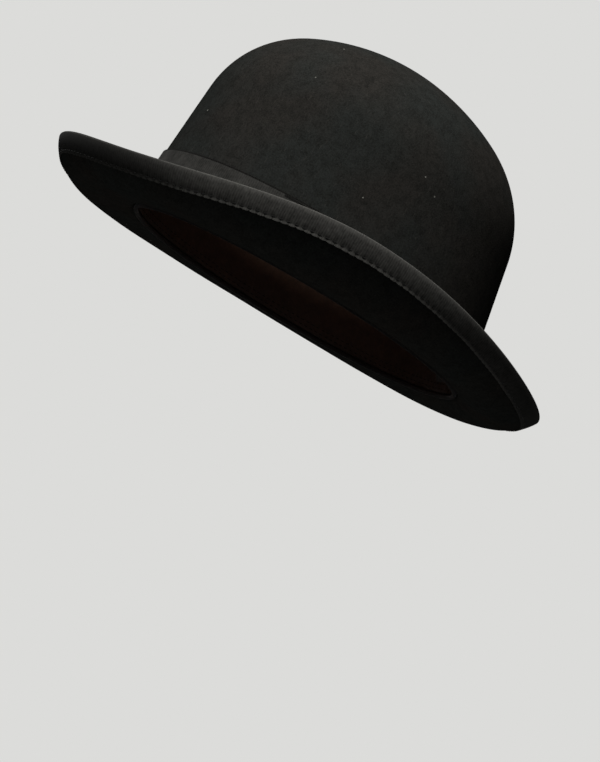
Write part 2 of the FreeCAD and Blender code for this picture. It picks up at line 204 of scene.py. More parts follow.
class Form:
    """Where each point of the hat lies, worked out from its sizes.

    The turn is the angle round the hat, zero at the front and growing towards the
    wearer's left. An offset is a distance out of the felt's outer face, so it is
    less than zero inside the hat. Heights are above the foot of the crown."""

    def __init__(self, sizes, inside):
        for group, prefix in ((sizes, ""), (inside, "in_")):
            for name in group.__annotations__:
                setattr(self, prefix + name, getattr(group, name))
        self.felt_inside = -self.felt
        self.lining_outside = self.felt_inside - self.gap
        self.lining_inside = self.lining_outside - self.in_lining_cloth
        join_inside = self.lining_inside - self.gap - self.in_join_tape
        self.leather_outside = join_inside - self.gap
        self.leather_inside = self.leather_outside - self.in_leather
        self.band_foot = self.felt + self.gap
        self.band_outside = self.gap + self.band_ribbon
        self.bow_level = self.band_foot + self.band_height / 2
        self.wrap_radius = self.in_reed_diameter / 2 + self.in_reed_ease
        self.reed_offset = self.lining_outside - self.wrap_radius - self.in_reed_tape
        # The centres of the shoulder arc and the tip arc in the crown's outline
        lean, shoulder = self.wall_lean, self.shoulder_radius
        self.tip_z = self.crown_height - self.tip_radius
        start_x = self.crown_length / 2 - shoulder * cos(lean)
        start_z = -shoulder * sin(lean)
        reach = self.tip_radius - shoulder
        along = start_z * cos(lean) - start_x * sin(lean) - self.tip_z * cos(lean)
        apart = start_x ** 2 + (start_z - self.tip_z) ** 2 - reach ** 2
        run = sqrt(along ** 2 - apart) - along
        self.shoulder_x = start_x - run * sin(lean)
        self.shoulder_z = start_z + run * cos(lean)
        self.shoulder_turn = atan2(self.shoulder_z - self.tip_z, self.shoulder_x)
        self.tip_run = self.tip_radius * (pi / 2 - self.shoulder_turn)
        self.shoulder_run = shoulder * (self.shoulder_turn - lean)
        self.seam_down = self.tip_run + shoulder * (self.shoulder_turn - self.in_seam_angle)
        # The crown's foot is lifted until the lowest line of the brim is at zero
        self.foot_height = 0.0
        self.crown_run = self.down_to(0.0, 0.0)
        self.curls = {}
        turns = [radians(degree) for degree in range(360)]
        lowest = max(c.radius - c.rise for c in map(self.curl, turns))
        self.curls.clear()
        self.foot_height = lowest

    def wander(self, turn, along):
        """How far the felt strays here, from the tip (0) to the foot (1) and the edge (2).

        About six swells go round its foot."""
        spot = Vector((sin(turn) * along, -cos(turn) * along, along))
        return self.stray * noise.noise(spot * 1.9)

    def oval(self, turn, offset, radius, height):
        """A point of the round form, made oval, tilted forward and set back."""
        share = (self.crown_width / 2 + offset) / (self.crown_length / 2 + offset)
        back = self.crown_setback - radius * cos(turn) - height * tan(self.crown_tilt)
        return Vector((radius * share * sin(turn), back, height + self.foot_height))

    def crown_line(self, down, offset):
        """Radius and height in the round form, a distance down the outline from its top."""
        if down <= self.tip_run:
            reach = self.tip_radius + offset
            turned = pi / 2 - down / self.tip_radius
            return reach * cos(turned), self.tip_z + reach * sin(turned)
        down -= self.tip_run
        reach = self.shoulder_radius + offset
        turned = max(self.shoulder_turn - down / self.shoulder_radius, self.wall_lean)
        beyond = max(down - self.shoulder_run, 0.0)
        return (self.shoulder_x + reach * cos(turned) + beyond * sin(self.wall_lean),
                self.shoulder_z + reach * sin(turned) - beyond * cos(self.wall_lean))

    def down_to(self, height, offset):
        """The distance down the outline at which the wall reaches a height."""
        top = self.shoulder_z + (self.shoulder_radius + offset) * sin(self.wall_lean)
        return self.tip_run + self.shoulder_run + (top - height) / cos(self.wall_lean)

    def crown_point(self, turn, down, offset):
        """A point of the crown, a distance down its outline from the top."""
        strayed = offset + self.wander(turn, down / self.crown_run)
        return self.oval(turn, offset, *self.crown_line(down, strayed))

    def wall_point(self, turn, height, offset):
        """A point of the crown's wall, at a height."""
        return self.crown_point(turn, self.down_to(height, offset), offset)

    def blend(self, front, back, side, share, turn):
        """A value at this turn, between its amount at the nearer end and at the sides."""
        end = front if cos(turn) > 0 else back
        return end + (side - end) * share

    def curl(self, turn):
        """The underside of the brim at this turn: a slope, then an arc."""
        if turn in self.curls:
            return self.curls[turn]
        share = abs(sin(turn)) ** self.side_sharpness
        dip = (self.front_dip if cos(turn) > 0 else self.back_dip) * sin(2 * turn) ** 2
        rise = self.blend(self.front_rise, self.back_rise, self.side_rise, share, turn) - dip
        slope = self.blend(
            self.front_slope, self.back_slope, self.side_slope, sin(turn) ** 2, turn)
        end = self.blend(self.front_curl, self.back_curl, self.side_curl, share, turn)
        offset = self.felt_inside + self.turn_step
        foot = self.oval(turn, offset, *self.crown_line(self.down_to(0.0, offset), offset))
        edge = Vector((self.brim_width / 2 * sin(turn), -self.brim_length / 2 * cos(turn), foot.z))
        out = edge - foot
        width = out.length
        out.normalize()
        across = sin(end) + sin(slope)
        up = cos(slope) - cos(end)
        radius = (rise * cos(slope) + width * sin(slope)) / (
            up * cos(slope) + across * sin(slope))
        reach = width - radius * sin(end)
        slope_run = (reach - radius * sin(slope)) / cos(slope)
        run = slope_run + radius * (end + slope)
        made = Curl(foot, out, reach, rise + radius * cos(end), radius, slope, run, slope_run)
        self.curls[turn] = made
        return made

    def brim_point(self, turn, run, offset):
        """A point of the brim, a run out from its foot, off its upper face."""
        c = self.curl(turn)
        lift = self.felt + offset + self.wander(turn, 1 + run / c.run)
        if run < c.slope_run:
            along = run * cos(c.slope) + lift * sin(c.slope)
            up = lift * cos(c.slope) - run * sin(c.slope)
        else:
            turned = (run - c.slope_run) / c.radius - c.slope
            along = c.reach + (c.radius - lift) * sin(turned)
            up = c.rise - (c.radius - lift) * cos(turned)
        return c.foot + c.out * along + Vector((0, 0, up))

    def edge_point(self, turn, inward, offset):
        """A point of the brim, a distance in from its edge."""
        return self.brim_point(turn, self.curl(turn).run - inward, offset)

    def felt_point(self, turn, along, offset):
        """A point of the felt, from the tip (0) over the foot (1) to the brim's edge (2)."""
        c = self.curl(turn)
        soft = self.corner_soft * (1 - 2 * offset / self.felt)
        lift = self.felt + offset
        out = (offset - self.felt_inside - self.turn_step) / cos(self.wall_lean)
        up = lift / cos(c.slope) - out * tan(c.slope)
        run = (out - lift * sin(c.slope)) / cos(c.slope) + soft
        low = self.down_to(up + soft, offset)
        if along <= 1 - TURN_SHARE:
            return self.crown_point(turn, low * along / (1 - TURN_SHARE), offset)
        if along >= 1 + TURN_SHARE:
            beyond = (along - 1 - TURN_SHARE) / (1 - TURN_SHARE)
            return self.brim_point(turn, run + (c.run - run) * beyond, offset)
        # The corner is a curve from the wall to the brim, drawn towards where they would meet
        mix = (along - 1 + TURN_SHARE) / (2 * TURN_SHARE)
        wall = self.crown_point(turn, low, offset) * (1 - mix) ** 2
        corner = self.wall_point(turn, up, offset) * 2 * mix * (1 - mix)
        return wall + corner + self.brim_point(turn, run, offset) * mix ** 2

    def side_point(self, behind, height, offset):
        """A point by the crown's left wall, a distance behind the bow's middle."""
        middle = self.crown_setback - height * tan(self.crown_tilt)
        radius = self.crown_line(self.down_to(height, offset), offset)[0]
        return self.wall_point(acos((middle - self.bow_place - behind) / radius), height, offset)

    def back_point(self, across, height, offset):
        """A point by the crown's back wall, a distance across from its middle."""
        radius = self.crown_line(self.down_to(height, offset), offset)[0]
        share = (self.crown_width / 2 + offset) / (self.crown_length / 2 + offset)
        return self.wall_point(pi - asin(across / (radius * share)), height, offset)


class Track:
    """Distances along a line round the hat, from the front to both sides."""

    def __init__(self, point, steps=360):
        self.turns = [pi * step / steps for step in range(steps + 1)]
        points = [point(turn) for turn in self.turns]
        self.runs = list(accumulate(((b - a).length for a, b in zip(points, points[1:])), initial=0.0))
        self.total = self.runs[-1] * 2

    def turn(self, distance):
        """The turn at a distance from the front."""
        at = min(max(bisect(self.runs, abs(distance)), 1), len(self.runs) - 1)
        low, high = self.runs[at - 1], self.runs[at]
        share = (abs(distance) - low) / (high - low)
        return copysign(self.turns[at - 1] + share * (self.turns[at] - self.turns[at - 1]), distance)

    def evenly(self, blank_turn):
        """The turn that lies as far round the line as a blank's turn does round a circle."""
        return self.turn(blank_turn / tau * self.total)


def hat_of(context):
    """The hat's form and its finishes."""
    scene = context.scene
    return Form(scene.bowler_sizes, scene.bowler_inside), scene.bowler_finishes


# Blanks: flat shapes that are spun or gridded first and then blocked into place

def spun(profile, steps, opening=0.0):
    """A profile of (distance, height) pairs, closed on itself and spun round the upright axis.

    A long spin is slow, so a sector is spun and set round up to 16 times. An opening, given
    as an angle, is left at the back."""
    sectors = max(number for number in range(1, 17) if steps % number == 0)
    sweep = (tau - opening) / sectors
    bm = bmesh.new()
    verts = [bm.verts.new((0, -x, z)) for x, z in profile]
    edges = [bm.edges.new(pair) for pair in zip(verts, verts[1:] + verts[:1])]
    bmesh.ops.spin(
        bm, geom=verts + edges, cent=(0, 0, 0), axis=(0, 0, 1), angle=sweep, steps=steps // sectors)
    sector = bpy.data.meshes.new("sector")
    bm.to_mesh(sector)
    for _ in range(sectors - 1):
        sector.transform(Matrix.Rotation(sweep, 4, "Z"))
        bm.from_mesh(sector)
    bpy.data.meshes.remove(sector)
    bmesh.ops.remove_doubles(bm, verts=bm.verts, dist=0.005 * MM)
    if opening:
        bmesh.ops.holes_fill(bm, edges=[e for e in bm.edges if e.is_boundary])
        turned = Matrix.Rotation(pi + opening / 2, 4, "Z")
        bmesh.ops.transform(bm, matrix=turned, verts=bm.verts)
    return bm


def turn_of(point):
    """The turn at which a blank's point lies."""
    return atan2(point.x, -point.y)


def blocked(profile, steps, place, around=0.0, opening=0.0, v_axis=0):
    """Spin a blank and move each point from (turn, distance, height) to its place on the hat.

    Where the way around the hat is given, it first lies along U and the profile's first or
    second number along V, in millimetres."""
    bm = spun(profile, steps, opening)
    if around:
        layer = bm.loops.layers.uv.new(UNROLLED)
        for face in bm.faces:
            middle = turn_of(face.calc_center_median())
            for loop in face.loops:
                co = loop.vert.co
                turn = turn_of(co)
                turn += tau * round((middle - turn) / tau)
                across = (hypot(co.x, co.y), co.z)[v_axis]
                loop[layer].uv = (around * turn / tau / MM, across / MM)
    for vert in bm.verts:
        co = vert.co
        vert.co = place(turn_of(co), hypot(co.x, co.y), co.z)
    return bm


def strap(low, high, inside, outside, parts):
    """The profile of a strap that stands on its edge, in pairs of (height, offset)."""
    bend = (outside - inside) / 2
    rows = [low + bend + (high - low - 2 * bend) * row / parts for row in range(parts + 1)]
    turns = [pi / 2 * part / 3 for part in range(-2, 3)]
    profile = [(height, outside) for height in rows]
    profile += [(rows[-1] + bend * cos(a), inside + bend - bend * sin(a)) for a in turns]
    profile += [(height, inside) for height in rows[::-1]]
    return profile + [(rows[0] - bend * cos(a), inside + bend + bend * sin(a)) for a in turns]


def cloth(start, end, outside, inside, parts=40):
    """The profile of a thin cloth down the crown's outline, in pairs of (distance down, offset)."""
    rows = [start + (end - start) * row / parts for row in range(parts + 1)]
    return [(down, outside) for down in rows] + [(down, inside) for down in rows[::-1]]


def arc(centre, radius, turns):
    """Points round a centre that lies out from the axis."""
    return [(centre + radius * cos(turned), radius * sin(turned)) for turned in turns]


def folded(run, flat, bend):
    """A run along a ribbon that lies flat, turns back round a bend and lies flat again.

    It gives how far along and how far out the ribbon is there, and the share of the bend behind it."""
    turned = min(max((run - flat) / bend, 0.0), pi)
    along = min(run, flat) - max(run - flat - pi * bend, 0.0) + bend * sin(turned)
    return along, bend - bend * cos(turned), turned / pi


def strip(columns, rows, size, place):
    """A run of ribbon: a grid with its length along U, each point then put in place."""
    bm = bmesh.new()
    bmesh.ops.create_grid(bm, x_segments=columns, y_segments=rows, size=0.5)
    layer = bm.loops.layers.uv.new(UNROLLED)
    for face in bm.faces:
        for loop in face.loops:
            loop[layer].uv = [(loop.vert.co[axis] + 0.5) * size[axis] / MM for axis in (0, 1)]
    for vert in bm.verts:
        vert.co = place(vert.co.x + 0.5, vert.co.y * 2)
    return bm


def sew(seams, places, spot, size):
    """Stitches at the places of each seam, where spot(seam, place, lift) is a point of the sewn face.

    Their size is their length, width and height."""
    threads = bmesh.new()
    bead = bmesh.new()
    bmesh.ops.create_uvsphere(bead, u_segments=6, v_segments=4, radius=1.0)
    stitch = bpy.data.meshes.new("stitch")
    step = 0.2 * MM
    for seam, place in product(seams, places):
        middle = spot(seam, place, 0.0)
        along = (spot(seam, place + step, 0.0) - spot(seam, place - step, 0.0)).normalized()
        up = (spot(seam, place, step) - middle).normalized()
        side = up.cross(along)
        axes = Matrix([along * size[0] / 2, side * size[1] / 2, up * size[2] / 2]).transposed()
        bead.to_mesh(stitch)
        stitch.transform(Matrix.Translation(middle) @ axes.to_4x4())
        threads.from_mesh(stitch)
    bead.free()
    bpy.data.meshes.remove(stitch)
    return threads


def ease(share):
    """A share from 0 to 1 that starts and ends softly."""
    share = min(max(share, 0.0), 1.0)
    return share * share * (3 - 2 * share)


def waver(turn, swells, level):
    """An unevenness round the hat, the finer the more swells it has, that differs by level."""
    return noise.noise(Vector((sin(turn) * swells, cos(turn) * swells, level)))


def make_piece(bm, name, finish, stands_for=(), thickness=0.0, sharp=50.0):
    """Turn a shaped blank into a piece of the hat."""
    bmesh.ops.remove_doubles(bm, verts=bm.verts, dist=0.001 * MM)
    bmesh.ops.recalc_face_normals(bm, faces=bm.faces)
    mesh = bpy.data.meshes.new(name)
    bm.to_mesh(mesh)
    bm.free()
    if not mesh.polygons:
        raise RuntimeError(name + " came out empty")
    mesh.shade_smooth()
    mesh.set_sharp_from_angle(angle=radians(sharp))
    mesh.materials.append(finish)
    piece = bpy.data.objects.new(name, mesh)
    bpy.context.scene.collection.objects.link(piece)
    if thickness:
        solid = piece.modifiers.new("Thickness", "SOLIDIFY")
        solid.thickness = thickness
        solid.offset = 0.0
        solid.use_even_offset = True
    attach(piece, "root")
    if stands_for:
        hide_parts(*stands_for)
    return piece


# Materials

def add(tree, kind, inputs=None, **settings):
    """Add a node with its settings and inputs. An input is a value, or else a socket or a
    node to link, and a node then gives the first output that it has in use."""
    node = tree.nodes.new("ShaderNode" + kind)
    for name, value in settings.items():
        setattr(node, name, value)
    for socket, value in (inputs or {}).items():
        if isinstance(value, bpy.types.Node):
            value = next(output for output in value.outputs if output.enabled)
        if isinstance(value, bpy.types.NodeSocket):
            tree.links.new(value, node.inputs[socket])
        else:
            node.inputs[socket].default_value = value
    return node


def material(name, surface, *settings, **named):
    """The material of a name, made when it is first asked for from its surface's nodes."""
    if name not in bpy.data.materials:
        made = bpy.data.materials.new(name)
        made.use_nodes = True
        made.node_tree.nodes.clear()
        add(made.node_tree, "OutputMaterial", {
            "Surface": surface(made.node_tree, *settings, **named)})
    return bpy.data.materials[name]


def weighed(tree, *parts):
    """The sum of some patterns, each given with its weight."""
    total = 0.0
    for pattern, weight in parts:
        total = add(tree, "Math", {0: pattern, 1: weight, 2: total}, operation="MULTIPLY_ADD")
    return total


def tinted(tree, value, low, high, start, end, most=1.0, **settings):
    """A colour that goes from start to end, or most of the way, as a value goes from low to high."""
    share = add(tree, "MapRange", {
        "Value": value, "From Min": low, "From Max": high, "To Max": most}, **settings)
    return add(tree, "Mix", {0: share, 6: start, 7: end}, data_type="RGBA")


def shaded(tone, gain):
    """A colour made lighter or darker."""
    return [min(v * gain, 1.0) for v in tone[:3]] + [1.0]


def bands(spacing):
    """The scale of a wave texture for the space between its bands, which is tau / 20 at one."""
    return tau / 20 / spacing


def wool_felt(tree, finish):
    """Wool felt, blocked, stiffened with shellac and brushed: a dull near-black nap of
    matted fibres, a little cloudy, with paler hairs painted in as glints, and odd lint."""
    place = add(tree, "TexCoord").outputs["Object"]
    # Clouds 45 mm across, where the brush has turned the nap, and small ones of 5 mm
    turned = add(tree, "TexNoise", {"Vector": place, "Scale": 1 / (45 * MM), "Detail": 2.0})
    tint = tinted(tree, turned, 0.4, 0.6, finish.felt, finish.felt_cool)
    cloud = add(tree, "TexNoise", {"Vector": place, "Scale": 1 / (5 * MM), "Detail": 3.0, "Roughness": 0.7})
    # Fibres are 0.02 mm thick: tufts of them are drawn 0.9 mm across, so that they show
    tuft = add(tree, "TexNoise", {"Vector": place, "Scale": 1 / (0.9 * MM), "Detail": 2.0, "Roughness": 0.75})
    nap = weighed(tree, (tuft, 0.6), (cloud, 0.4))
    ground = tinted(tree, nap, 0.3, 0.6, finish.felt_shade, tint)
    # A few coarser hairs lie aslant, 5 mm long, painted paler as glints that stand in for the light they
    # catch
    slant = add(tree, "Mapping", {"Vector": place, "Rotation": (0.5, 0.0, 0.6), "Scale": (1.0, 1.0, 0.16)})
    hair = add(tree, "TexNoise", {"Vector": slant, "Scale": 1 / (0.8 * MM), "Detail": 1.0, "Distortion": 0.8})
    paler = tinted(tree, hair, 0.66, 0.78, ground, shaded(finish.felt, 2.0), 0.4)
    # Lint: a speck up to 0.9 mm across in some of the cells, which are 12 mm apart
    cell = add(tree, "TexVoronoi", {"Vector": place, "Scale": 1 / (12 * MM)})
    near = add(tree, "Math", {0: cell, 1: 0.038}, operation="LESS_THAN")
    hue = add(tree, "SeparateColor", {0: cell.outputs["Color"]})
    some = add(tree, "Math", {0: hue, 1: 0.45}, operation="GREATER_THAN")
    speck = add(tree, "Math", {0: near, 1: some}, operation="MULTIPLY")
    linted = add(tree, "Mix", {0: speck, 6: paler, 7: finish.lint}, data_type="RGBA")
    height = weighed(tree, (tuft, 1.0), (cloud, 0.5))
    bump = add(tree, "Bump", {"Height": height, "Strength": 0.4, "Distance": 0.25 * MM})
    return add(tree, "BsdfPrincipled", {
        "Base Color": linted, "Normal": bump, "Roughness": 0.85, "IOR": 1.5, "Specular IOR Level": 0.0})


def grosgrain(tree, finish, brightness, worn, edges=(), around=0.0, pitch=1.25):
    """Grosgrain ribbon, woven of rayon over thick cotton cords: fine ribs across its
    length, which catch the light as a soft silky sheen, and plain firm edges.

    Each edge is (start, full, gain, broken): where across the ribbon its tone starts to
    change, where it has changed in full, by how much, and how unevenly; each paints a
    highlight (gain above one) or shade (gain below one) along the ribbon. Where around, the
    ribbon's length, is given, it is painted darker at the front and the back, as painted shade, and paler
    between them."""
    uv = add(tree, "UVMap", uv_map=UNROLLED)
    along = add(tree, "SeparateXYZ", {0: uv})
    # The cords lie 0.7 mm apart: the ribs are drawn further apart, at the pitch, so that they show
    ribs = add(tree, "TexWave", {"Vector": uv, "Scale": bands(pitch)}).outputs["Fac"]
    # Thread ends and slubs along the cords
    stretch = add(tree, "Mapping", {"Vector": uv, "Scale": (1.6, 0.5, 1.0)})
    slub = add(tree, "TexNoise", {"Vector": stretch, "Scale": 1.0, "Detail": 3.0})
    # Clouds about 9 mm long, where the ribbon has been handled, and blotches of 2 mm
    cloud = add(tree, "TexNoise", {"Vector": uv, "Scale": 0.11, "Detail": 3.0})
    blotch = add(tree, "TexNoise", {"Vector": uv, "Scale": 0.45, "Detail": 2.0})
    tone = weighed(tree, (ribs, 0.12), (slub, 0.48), (blotch, 0.4), (cloud, worn))
    # brightness makes lighter and darker copies of one grosgrain: raised on the binding as painted sheen,
    # lowered on the bow as painted shade
    pale = shaded(finish.ribbon, brightness)
    weave = tinted(tree, tone, 0.25 + worn * 0.4, 0.7 + worn * 0.6, finish.ribbon_shade, pale)
    for start, full, gain, broken in edges:
        near = add(tree, "MapRange", {"Value": along.outputs["Y"], "From Min": start, "From Max": full},
                   interpolation_type="SMOOTHSTEP")
        whole = add(tree, "MapRange", {"Value": slub, "From Min": 0.4, "From Max": 0.6, "To Min": 1 - broken})
        share = add(tree, "Math", {0: near, 1: whole}, operation="MULTIPLY")
        weave = add(tree, "Mix", {0: share, 6: weave, 7: shaded(pale, gain)}, data_type="RGBA")
    # Painted shade: the ribbon goes darker towards the front and the back of the hat, by the cosine of the
    # way round
    if around:
        turned = add(tree, "Math", {0: along, 1: tau / around}, operation="MULTIPLY")
        ahead = add(tree, "Math", {0: turned}, operation="COSINE")
        ends = add(tree, "Math", {0: ahead}, operation="ABSOLUTE")
        weave = tinted(tree, ends, 0.55, 0.92, weave, finish.ribbon_shade, 0.7,
                       interpolation_type="SMOOTHSTEP")
    rough = add(tree, "MapRange", {"Value": cloud, "To Min": 0.62, "To Max": 0.44})
    height = weighed(tree, (ribs, 1.0), (slub, 1.2))
    bump = add(tree, "Bump", {"Height": height, "Strength": 0.3, "Distance": 0.1 * MM})
    return add(tree, "BsdfPrincipled", {
        "Base Color": weave, "Normal": bump, "Roughness": rough, "IOR": 1.52, "Specular IOR Level": 0.0,
        "Sheen Weight": 0.06, "Sheen Roughness": 0.45, "Sheen Tint": linear("#e7e7e7")})


def painted_selvage_shade(low, high, reach, broken):
    """Painted shade on a ribbon's two firm edges: a dark line along each, where they lie in their own shade.
    """
    full = reach * 0.62
    return [(high - reach, high - full, 0.1, broken), (low + reach, low + full, 0.1, broken)]


def sewing_thread(tree, finish):
    """Mercerised cotton thread, two plies twisted: small dark beads with a dull shine."""
    place = add(tree, "TexCoord").outputs["Object"]
    # The plies cross every 0.4 mm and are drawn at 0.7 mm
    ply = add(tree, "TexWave", {"Vector": place, "Scale": bands(0.7 * MM), "Distortion": 1.5},
              bands_direction="DIAGONAL").outputs["Fac"]
    cord = tinted(tree, ply, 0.0, 1.0, shaded(finish.thread, 0.5), finish.thread)
    bump = add(tree, "Bump", {"Height": ply, "Strength": 0.4, "Distance": 0.1 * MM})
    return add(tree, "BsdfPrincipled", {
        "Base Color": cord, "Normal": bump, "Roughness": 0.7, "IOR": 1.53, "Specular IOR Level": 0.1})


def sheep_leather(tree, finish, foot, top):
    """Sheepskin, vegetable tanned and glazed: warm brown with small close pores and
    creases, glossier where it is rubbed and darker in its pores and along its edges,
    whose places across the strip are given."""
    place = add(tree, "TexCoord").outputs["Object"]
    uv = add(tree, "UVMap", uv_map=UNROLLED)
    # Grain cells 1.4 mm across: sheep grain is about 0.6 mm and is drawn coarser
    grain = add(tree, "TexVoronoi", {"Vector": place, "Scale": 1 / (1.4 * MM), "Randomness": 0.9})
    crease = add(tree, "TexNoise", {"Vector": place, "Scale": 1 / (6 * MM), "Detail": 5.0, "Roughness": 0.6})
    cloud = add(tree, "TexNoise", {"Vector": place, "Scale": 1 / (32 * MM), "Detail": 2.0})
    tone = weighed(tree, (crease, 1.0), (grain, 0.5), (cloud, 0.6))
    level = add(tree, "MapRange", {
        "Value": tone, "From Min": 0.75, "From Max": 1.3, "To Min": 1.0, "To Max": 0.25})
    # The edges are burnished darker over about 2 mm
    across = add(tree, "SeparateXYZ", {0: uv}).outputs["Y"]
    for edge, clear in ((foot - 0.65, foot + 1.85), (top, top - 2.0)):
        inner = add(tree, "MapRange", {"Value": across, "From Min": edge, "From Max": clear})
        level = add(tree, "Math", {0: level, 1: inner}, operation="MULTIPLY")
    hide = add(tree, "Mix", {0: level, 6: finish.leather_shade, 7: finish.leather}, data_type="RGBA")
    rough = add(tree, "MapRange", {"Value": cloud, "To Min": 0.5, "To Max": 0.34})
    bump = add(tree, "Bump", {"Height": tone, "Strength": 0.35, "Distance": 0.3 * MM}, invert=True)
    return add(tree, "BsdfPrincipled", {
        "Base Color": hide, "Normal": bump, "Roughness": rough, "IOR": 1.5, "Specular IOR Level": 0.5})


def lining_satin(tree, finish):
    """Viscose satin: long floating threads that give a smooth sheen along the weave,
    a fine diagonal line and slight clouds where the cloth has been pressed."""
    uv = add(tree, "UVMap", uv_map=UNROLLED)
    # Satin floats are 0.15 mm wide and are drawn at 0.8 mm
    floats = add(tree, "TexWave", {"Vector": uv, "Scale": bands(0.8), "Distortion": 0.6},
                 bands_direction="DIAGONAL").outputs["Fac"]
    cloud = add(tree, "TexNoise", {"Vector": uv, "Scale": 0.06, "Detail": 4.0})
    stretch = add(tree, "Mapping", {"Vector": uv, "Scale": (3.0, 0.15, 1.0)})
    slub = add(tree, "TexNoise", {"Vector": stretch, "Scale": 1.0, "Detail": 2.0})
    tone = weighed(tree, (slub, 1.0), (floats, 0.35), (cloud, 1.0))
    weave = tinted(tree, tone, 0.8, 1.5, finish.satin_shade, finish.satin)
    bump = add(tree, "Bump", {"Height": tone, "Strength": 0.25, "Distance": 0.15 * MM})
    return add(tree, "BsdfPrincipled", {
        "Base Color": weave, "Normal": bump, "Roughness": 0.36, "IOR": 1.53, "Specular IOR Level": 0.6,
        "Sheen Weight": 0.12, "Sheen Roughness": 0.3, "Sheen Tint": linear("#f3e7e2"), "Anisotropic": 0.4})


def cotton_tape(tree, finish):
    """Cotton tape, twill woven and dyed: dull, with a fine slanting line in its weave."""
    place = add(tree, "TexCoord").outputs["Object"]
    # Twill lines 0.6 mm apart, drawn at 1.1 mm
    twill = add(tree, "TexWave", {"Vector": place, "Scale": bands(1.1 * MM), "Distortion": 0.8},
                bands_direction="DIAGONAL").outputs["Fac"]
    fluff = add(tree, "TexNoise", {"Vector": place, "Scale": 1 / (2.5 * MM), "Detail": 3.0})
    tone = weighed(tree, (fluff, 1.0), (twill, 0.5))
    weave = tinted(tree, tone, 0.4, 1.1, shaded(finish.tape, 0.45), finish.tape)
    bump = add(tree, "Bump", {"Height": tone, "Strength": 0.4, "Distance": 0.15 * MM})
    return add(tree, "BsdfPrincipled", {
        "Base Color": weave, "Normal": bump, "Roughness": 0.8, "IOR": 1.53, "Sheen Weight": 0.1})


def drawn_reed(tree, finish):
    """Reed of drawn PVC: a smooth round line, faintly cloudy and glossier in places."""
    place = add(tree, "TexCoord").outputs["Object"]
    marks = add(tree, "TexNoise", {"Vector": place, "Scale": 1 / (3 * MM), "Detail": 2.0})
    drawn = tinted(tree, marks, 0.0, 1.0, shaded(finish.reed, 0.6), finish.reed)
    rough = add(tree, "MapRange", {"Value": marks, "To Min": 0.3, "To Max": 0.5})
    return add(tree, "BsdfPrincipled", {"Base Color": drawn, "Roughness": rough, "IOR": 1.54})


# Operators

class BOWLER_OT_felt_body(bpy.types.Operator):
    """Block a flat round of felt into the crown and the curled brim"""
    bl_idname = "bowler.felt_body"
    bl_label = "Felt body"

    def execute(self, context):
        form, finish = hat_of(context)
        crown_rows, brim_rows, steps = 60, 30, 240
        face = [(1 - TURN_SHARE) * row / crown_rows for row in range(crown_rows + 1)]
        face += [1 + TURN_SHARE * part for part in (-0.5, 0.0, 0.5)]
        face += [1 + TURN_SHARE + (1 - TURN_SHARE) * row / brim_rows for row in range(brim_rows)]
        # The rim of the brim, which reaches out by about 50 mm, is rounded by 0.4 mm on both faces
        rounded = 0.4 * MM
        rim = 2 - rounded / (50 * MM)
        outer = [(along, 0.0) for along in face + [rim]]
        edge = [(2.0, -rounded), (2.0, rounded - form.felt)]
        inner = [(along, -form.felt) for along in [rim] + face[::-1]]
        bm = blocked(outer + edge + inner, steps, form.felt_point)
        make_piece(bm, "felt_hood", material("Brushed wool felt", wool_felt, finish), ["felt_body"])
        return {"FINISHED"}


